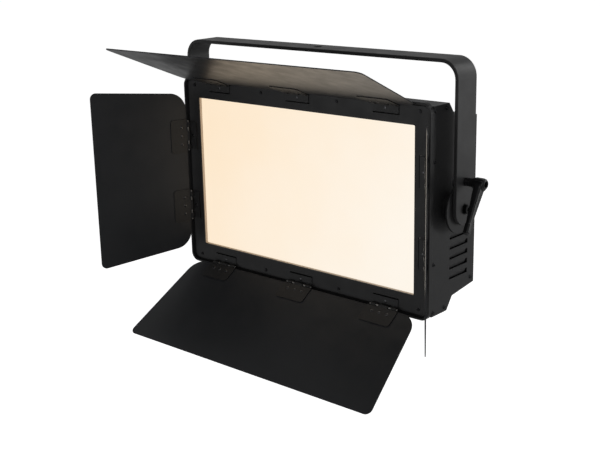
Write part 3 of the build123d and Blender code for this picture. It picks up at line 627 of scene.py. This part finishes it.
class PANELLIGHT_OT_lit_sheet(PieceOperator, bpy.types.Operator):
    """Glowing opal sheet, its white seat painted warm tan for the sheet's glow falling on it, and the light
    box behind it
    """

    bl_idname = "panellight.lit_sheet"
    bl_label = "Lit sheet"

    def execute(self, context):
        light = self.settings(context, "light")
        glow = Finish("opal_sheet", (0.06, 0.055, 0.05), 0.5, specular=0.3)
        low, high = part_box("diffuser")
        middle = (low + high) / 2
        centred = glow.add("ShaderNodeMapping", Vector=glow.place, Location=tuple(-middle)).outputs["Vector"]
        split = glow.add("ShaderNodeSeparateXYZ", Vector=centred)
        slant = glow.add("ShaderNodeMath")
        slant.operation = "MULTIPLY_ADD"
        glow.tree.links.new(split.outputs["Z"], slant.inputs[0])
        slant.inputs[1].default_value = GLOW_SLANT
        glow.tree.links.new(split.outputs["X"], slant.inputs[2])
        across = glow.span(slant.outputs[0], 0.0, 1.0, -GLOW_REACH, GLOW_REACH)
        mottled = glow.span(glow.noise(14.0, 2.0), -GLOW_MOTTLE, GLOW_MOTTLE)
        drift = glow.add("ShaderNodeMath")
        glow.tree.links.new(across, drift.inputs[0])
        glow.tree.links.new(mottled, drift.inputs[1])
        glow.link(glow.mix(drift.outputs[0], tuple(light.warm), tuple(light.pale)), "Emission Color")
        glow.shader.inputs["Emission Strength"].default_value = light.strength
        coat_node(glow.material, "diffuser")
        # painted glow: the white seat is coloured warm tan for the lit sheet's light on it
        coat_node(moulded("seat_painted_warm_glow", tuple(light.seat), 0.6), "diffuser_seat")
        coat_node(moulded("reflector_lacquer", (0.8, 0.8, 0.78), 0.5), "light_box", "led_board")
        coat_node(moulded("phosphor", (0.8, 0.55, 0.12), 0.4), "led_chips")
        return {"FINISHED"}


class PANELLIGHT_OT_levers(PieceOperator, bpy.types.Operator):
    """Moulded clamping levers with softened ribs and blends"""

    bl_idname = "panellight.levers"
    bl_label = "Clamping levers"

    def execute(self, context):
        lever = self.settings(context, "lever")
        nylon = moulded("glass_filled_nylon", tuple(lever.nylon), 0.28, 0.0006, 0.00001)
        for side in ("right", "left"):
            node = "clamp_handle_" + side
            shape = merged(node)
            mesh = bpy.data.meshes.new(node + "_moulded")
            shape.to_mesh(mesh)
            shape.free()
            holder = bpy.data.objects.new(node + "_blank", mesh)
            context.scene.collection.objects.link(holder)
            remesh = holder.modifiers.new("Mould", "REMESH")
            remesh.mode, remesh.voxel_size, remesh.use_smooth_shade = "VOXEL", lever.voxel, True
            smooth = holder.modifiers.new("Blend", "SMOOTH")
            smooth.factor, smooth.iterations = BLEND_FACTOR, BLEND_STEPS
            thin = holder.modifiers.new("Thin", "DECIMATE")
            thin.ratio = TRIANGLES_KEPT
            graph = context.evaluated_depsgraph_get()
            moulding = bpy.data.meshes.new_from_object(holder.evaluated_get(graph), depsgraph=graph)
            moulding.name = node + "_moulding"
            bpy.data.objects.remove(holder)
            moulding.shade_smooth()
            finished(node + "_moulding", moulding, node, node, looks=nylon)
        return {"FINISHED"}


class PANELLIGHT_OT_rear_controls(PieceOperator, bpy.types.Operator):
    """Display, buttons, sockets, fuse and the electronics behind them"""

    bl_idname = "panellight.rear_controls"
    bl_label = "Rear controls"

    def execute(self, context):
        controls = self.settings(context, "controls")
        plastic = moulded("control_plastic", tuple(controls.plastic), 0.45)
        coat_node(plastic, "control_panel", "fuse_holder")
        coat_node(moulded("socket_blue", (0.02, 0.05, 0.16), 0.4), "power_sockets")
        coat_node(plated_steel("dark_nickel", (0.12, 0.12, 0.125), 0.35, (500, 500, 500)), "data_sockets")
        rubber = moulded("key_rubber", tuple(controls.keys), 0.7)
        coat_node(rubber, "button_menu", "button_down", "button_up", "button_enter")
        glass = Finish("display_glass", (0.004, 0.006, 0.008), 0.08)
        coat_node(glass.material, "display")
        self.display_bars(tuple(controls.screen))
        self.key_marks(rubber)
        board = moulded("solder_mask", (0.01, 0.09, 0.03), 0.35)
        coat_node(board, "driver_board", "control_board")
        cast = plated_steel("mill_aluminium", (0.6, 0.6, 0.61), 0.35, (30, 30, 900))
        coat_node(cast, "power_supply", "heat_sink")
        return {"FINISHED"}

    @staticmethod
    def display_bars(lit):
        """Level bars and a base line glowing behind the display's window."""
        low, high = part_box("display")
        width, tall = high.x - low.x, high.z - low.z
        foot = low.z + tall * BAR_FOOT
        bars = [rectangle(low.x + width * BAR_START, foot - tall * LINE_LOW,
                          low.x + width * LINE_END, foot - tall * LINE_HIGH)]
        for number in range(BAR_COUNT):
            left = low.x + width * (BAR_START + BAR_PITCH * number)
            bars.append(rectangle(left, foot, left + width * BAR_WIDTH,
                                  foot + tall * (BAR_TALLEST - BAR_STEP * number)))
        glow = Finish("display_glow", (0.02, 0.05, 0.06), 0.3)
        flicker = glow.span(glow.noise(900.0), 0.0, 0.35)
        glow.link(glow.mix(flicker, lit, tuple(channel * 0.6 for channel in lit)), "Emission Color")
        glow.shader.inputs["Emission Strength"].default_value = 0.8
        finished("display_bars", raised_marks(bars, high.y, BAR_HEIGHT, BAR_BEVEL), "display",
                 body=NODES["display"]["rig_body"], looks=glow.material)

    @staticmethod
    def key_marks(rubber):
        """Moulded marks on the keys: three lines, down, up and a dot."""
        reach = MARK_REACH
        turns = [step * math.tau / DOT_SIDES for step in range(DOT_SIDES)]
        shapes = {
            "menu": [rectangle(-reach, step - MARK_STROKE, reach, step + MARK_STROKE)
                     for step in (-MARK_PITCH, 0, MARK_PITCH)],
            "down": [[(-reach, ARROW_BASE), (0, -ARROW_TIP), (reach, ARROW_BASE)]],
            "up": [[(-reach, -ARROW_BASE), (0, ARROW_TIP), (reach, -ARROW_BASE)]],
            "enter": [[(reach * math.cos(turn), reach * math.sin(turn)) for turn in turns]],
        }
        for name, outlines in shapes.items():
            node = "button_" + name
            low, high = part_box(node)
            middle = (low + high) / 2
            placed = [[(middle.x - x, middle.z + z) for x, z in outline] for outline in outlines]
            mark = raised_marks(placed, high.y - MARK_SINK, MARK_HEIGHT, MARK_BEVEL)
            finished("mark_" + name, mark, node, body=NODES[node]["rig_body"], looks=rubber)


class PANELLIGHT_OT_stage(PieceOperator, bpy.types.Operator):
    """Pale floor, soft lights, camera"""

    bl_idname = "panellight.stage"
    bl_label = "Stage"

    def execute(self, context):
        stage = self.settings(context, "set")
        scene = context.scene
        scene.view_settings.view_transform = "Standard"
        low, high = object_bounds()
        floor_mesh = bpy.data.meshes.new("floor")
        level, reach = low.z - stage.floor_drop, FLOOR_REACH
        floor_mesh.from_pydata([(-reach, -reach, level), (reach, -reach, level), (reach, reach, level),
                                (-reach, reach, level)], [], [(0, 1, 2, 3)])
        floor = bpy.data.objects.new("floor", floor_mesh)
        scene.collection.objects.link(floor)
        pale = Finish("pale_floor", tuple(stage.floor), 0.9, specular=0.2)
        pale.link(pale.mix(pale.span(pale.noise(3.0), 0.0, 1.0), tuple(stage.floor),
                           tuple(channel * FLOOR_TONE for channel in stage.floor)), "Base Color")
        pale.shader.inputs["Emission Color"].default_value = (1, 1, 1, 1)
        pale.shader.inputs["Emission Strength"].default_value = FLOOR_GLOW
        floor_mesh.materials.append(pale.material)
        floor.visible_glossy = False
        floor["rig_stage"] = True
        self.world(scene)
        aim = (low + high) / 2
        for name, place, width, height, power in SOFT_BOXES:
            self.soft_box(name, place, aim, width, height, power)
        lens = bpy.data.cameras.new("camera")
        lens.lens, lens.sensor_width = LENS, SENSOR
        lens.shift_x, lens.shift_y = LENS_SHIFT
        camera = bpy.data.objects.new("camera", lens)
        axes = Matrix((CAMERA_RIGHT, CAMERA_UP, CAMERA_BACK)).transposed()
        camera.matrix_world = Matrix.Translation(CAMERA_PLACE) @ axes.to_4x4()
        scene.collection.objects.link(camera)
        scene.camera = camera
        return {"FINISHED"}

    @staticmethod
    def soft_box(name, place, aim, width, height, power):
        """Large area light that faces aim."""
        data = bpy.data.lights.new(name, "AREA")
        data.shape, data.size, data.size_y, data.energy = "RECTANGLE", width, height, power
        lamp = bpy.data.objects.new(name, data)
        lamp.location = place
        lamp.rotation_euler = (aim - Vector(place)).to_track_quat("-Z", "Y").to_euler()
        bpy.context.scene.collection.objects.link(lamp)

    @staticmethod
    def world(scene):
        """White where the camera looks past the light, dim for everything that lights or reflects."""
        world = bpy.data.worlds.new("studio")
        world.use_nodes = True
        scene.world = world
        tree = world.node_tree
        tree.nodes.clear()
        place = tree.nodes.new("ShaderNodeTexCoord")
        turn = tree.nodes.new("ShaderNodeVectorMath")
        turn.operation = "DOT_PRODUCT"
        turn.inputs[1].default_value = BRIGHT_SIDE
        tree.links.new(place.outputs["Generated"], turn.inputs[0])
        ramp = tree.nodes.new("ShaderNodeMapRange")
        ramp.interpolation_type = "SMOOTHSTEP"
        for key, number in (("From Min", DIM_END[0]), ("From Max", BRIGHT_END[0]),
                            ("To Min", DIM_END[1]), ("To Max", BRIGHT_END[1])):
            ramp.inputs[key].default_value = number
        tree.links.new(turn.outputs["Value"], ramp.inputs["Value"])
        path = tree.nodes.new("ShaderNodeLightPath")
        seen = tree.nodes.new("ShaderNodeMath")
        seen.operation = "MAXIMUM"
        tree.links.new(path.outputs["Is Camera Ray"], seen.inputs[0])
        tree.links.new(ramp.outputs["Result"], seen.inputs[1])
        back = tree.nodes.new("ShaderNodeBackground")
        back.inputs["Color"].default_value = (1, 1, 1, 1)
        tree.links.new(seen.outputs[0], back.inputs["Strength"])
        out = tree.nodes.new("ShaderNodeOutputWorld")
        tree.links.new(back.outputs["Background"], out.inputs["Surface"])


OPERATORS = (
    PANELLIGHT_OT_sheet_metal, PANELLIGHT_OT_steel, PANELLIGHT_OT_screws, PANELLIGHT_OT_rivets,
    PANELLIGHT_OT_lit_sheet, PANELLIGHT_OT_levers, PANELLIGHT_OT_rear_controls, PANELLIGHT_OT_stage,
)


class PANELLIGHT_PT_sidebar(bpy.types.Panel):
    """Lists the pieces and their settings"""

    bl_idname = "PANELLIGHT_PT_sidebar"
    bl_label = "Panel light"
    bl_space_type = "VIEW_3D"
    bl_region_type = "UI"
    bl_category = "Panel light"

    def draw(self, context):
        for operator in OPERATORS:
            self.layout.operator(operator.bl_idname)
        for name, group in GROUPS:
            box = self.layout.box()
            box.label(text=group.__doc__)
            for key in group.__annotations__:
                box.prop(getattr(context.scene, "panel_light_" + name), key)


def register():
    for name, group in GROUPS:
        bpy.utils.register_class(group)
        setattr(bpy.types.Scene, "panel_light_" + name, PointerProperty(type=group))
    for operator in OPERATORS:
        bpy.utils.register_class(operator)
    bpy.utils.register_class(PANELLIGHT_PT_sidebar)


def unregister():
    bpy.utils.unregister_class(PANELLIGHT_PT_sidebar)
    for operator in reversed(OPERATORS):
        bpy.utils.unregister_class(operator)
    for name, group in reversed(GROUPS):
        delattr(bpy.types.Scene, "panel_light_" + name)
        bpy.utils.unregister_class(group)


def main():
    register()
    for operator in OPERATORS:
        area, action = operator.bl_idname.split(".")
        if getattr(getattr(bpy.ops, area), action)() != {"FINISHED"}:
            raise RuntimeError(f"{operator.bl_label} was not finished")


if __name__ == "__main__":
    main()
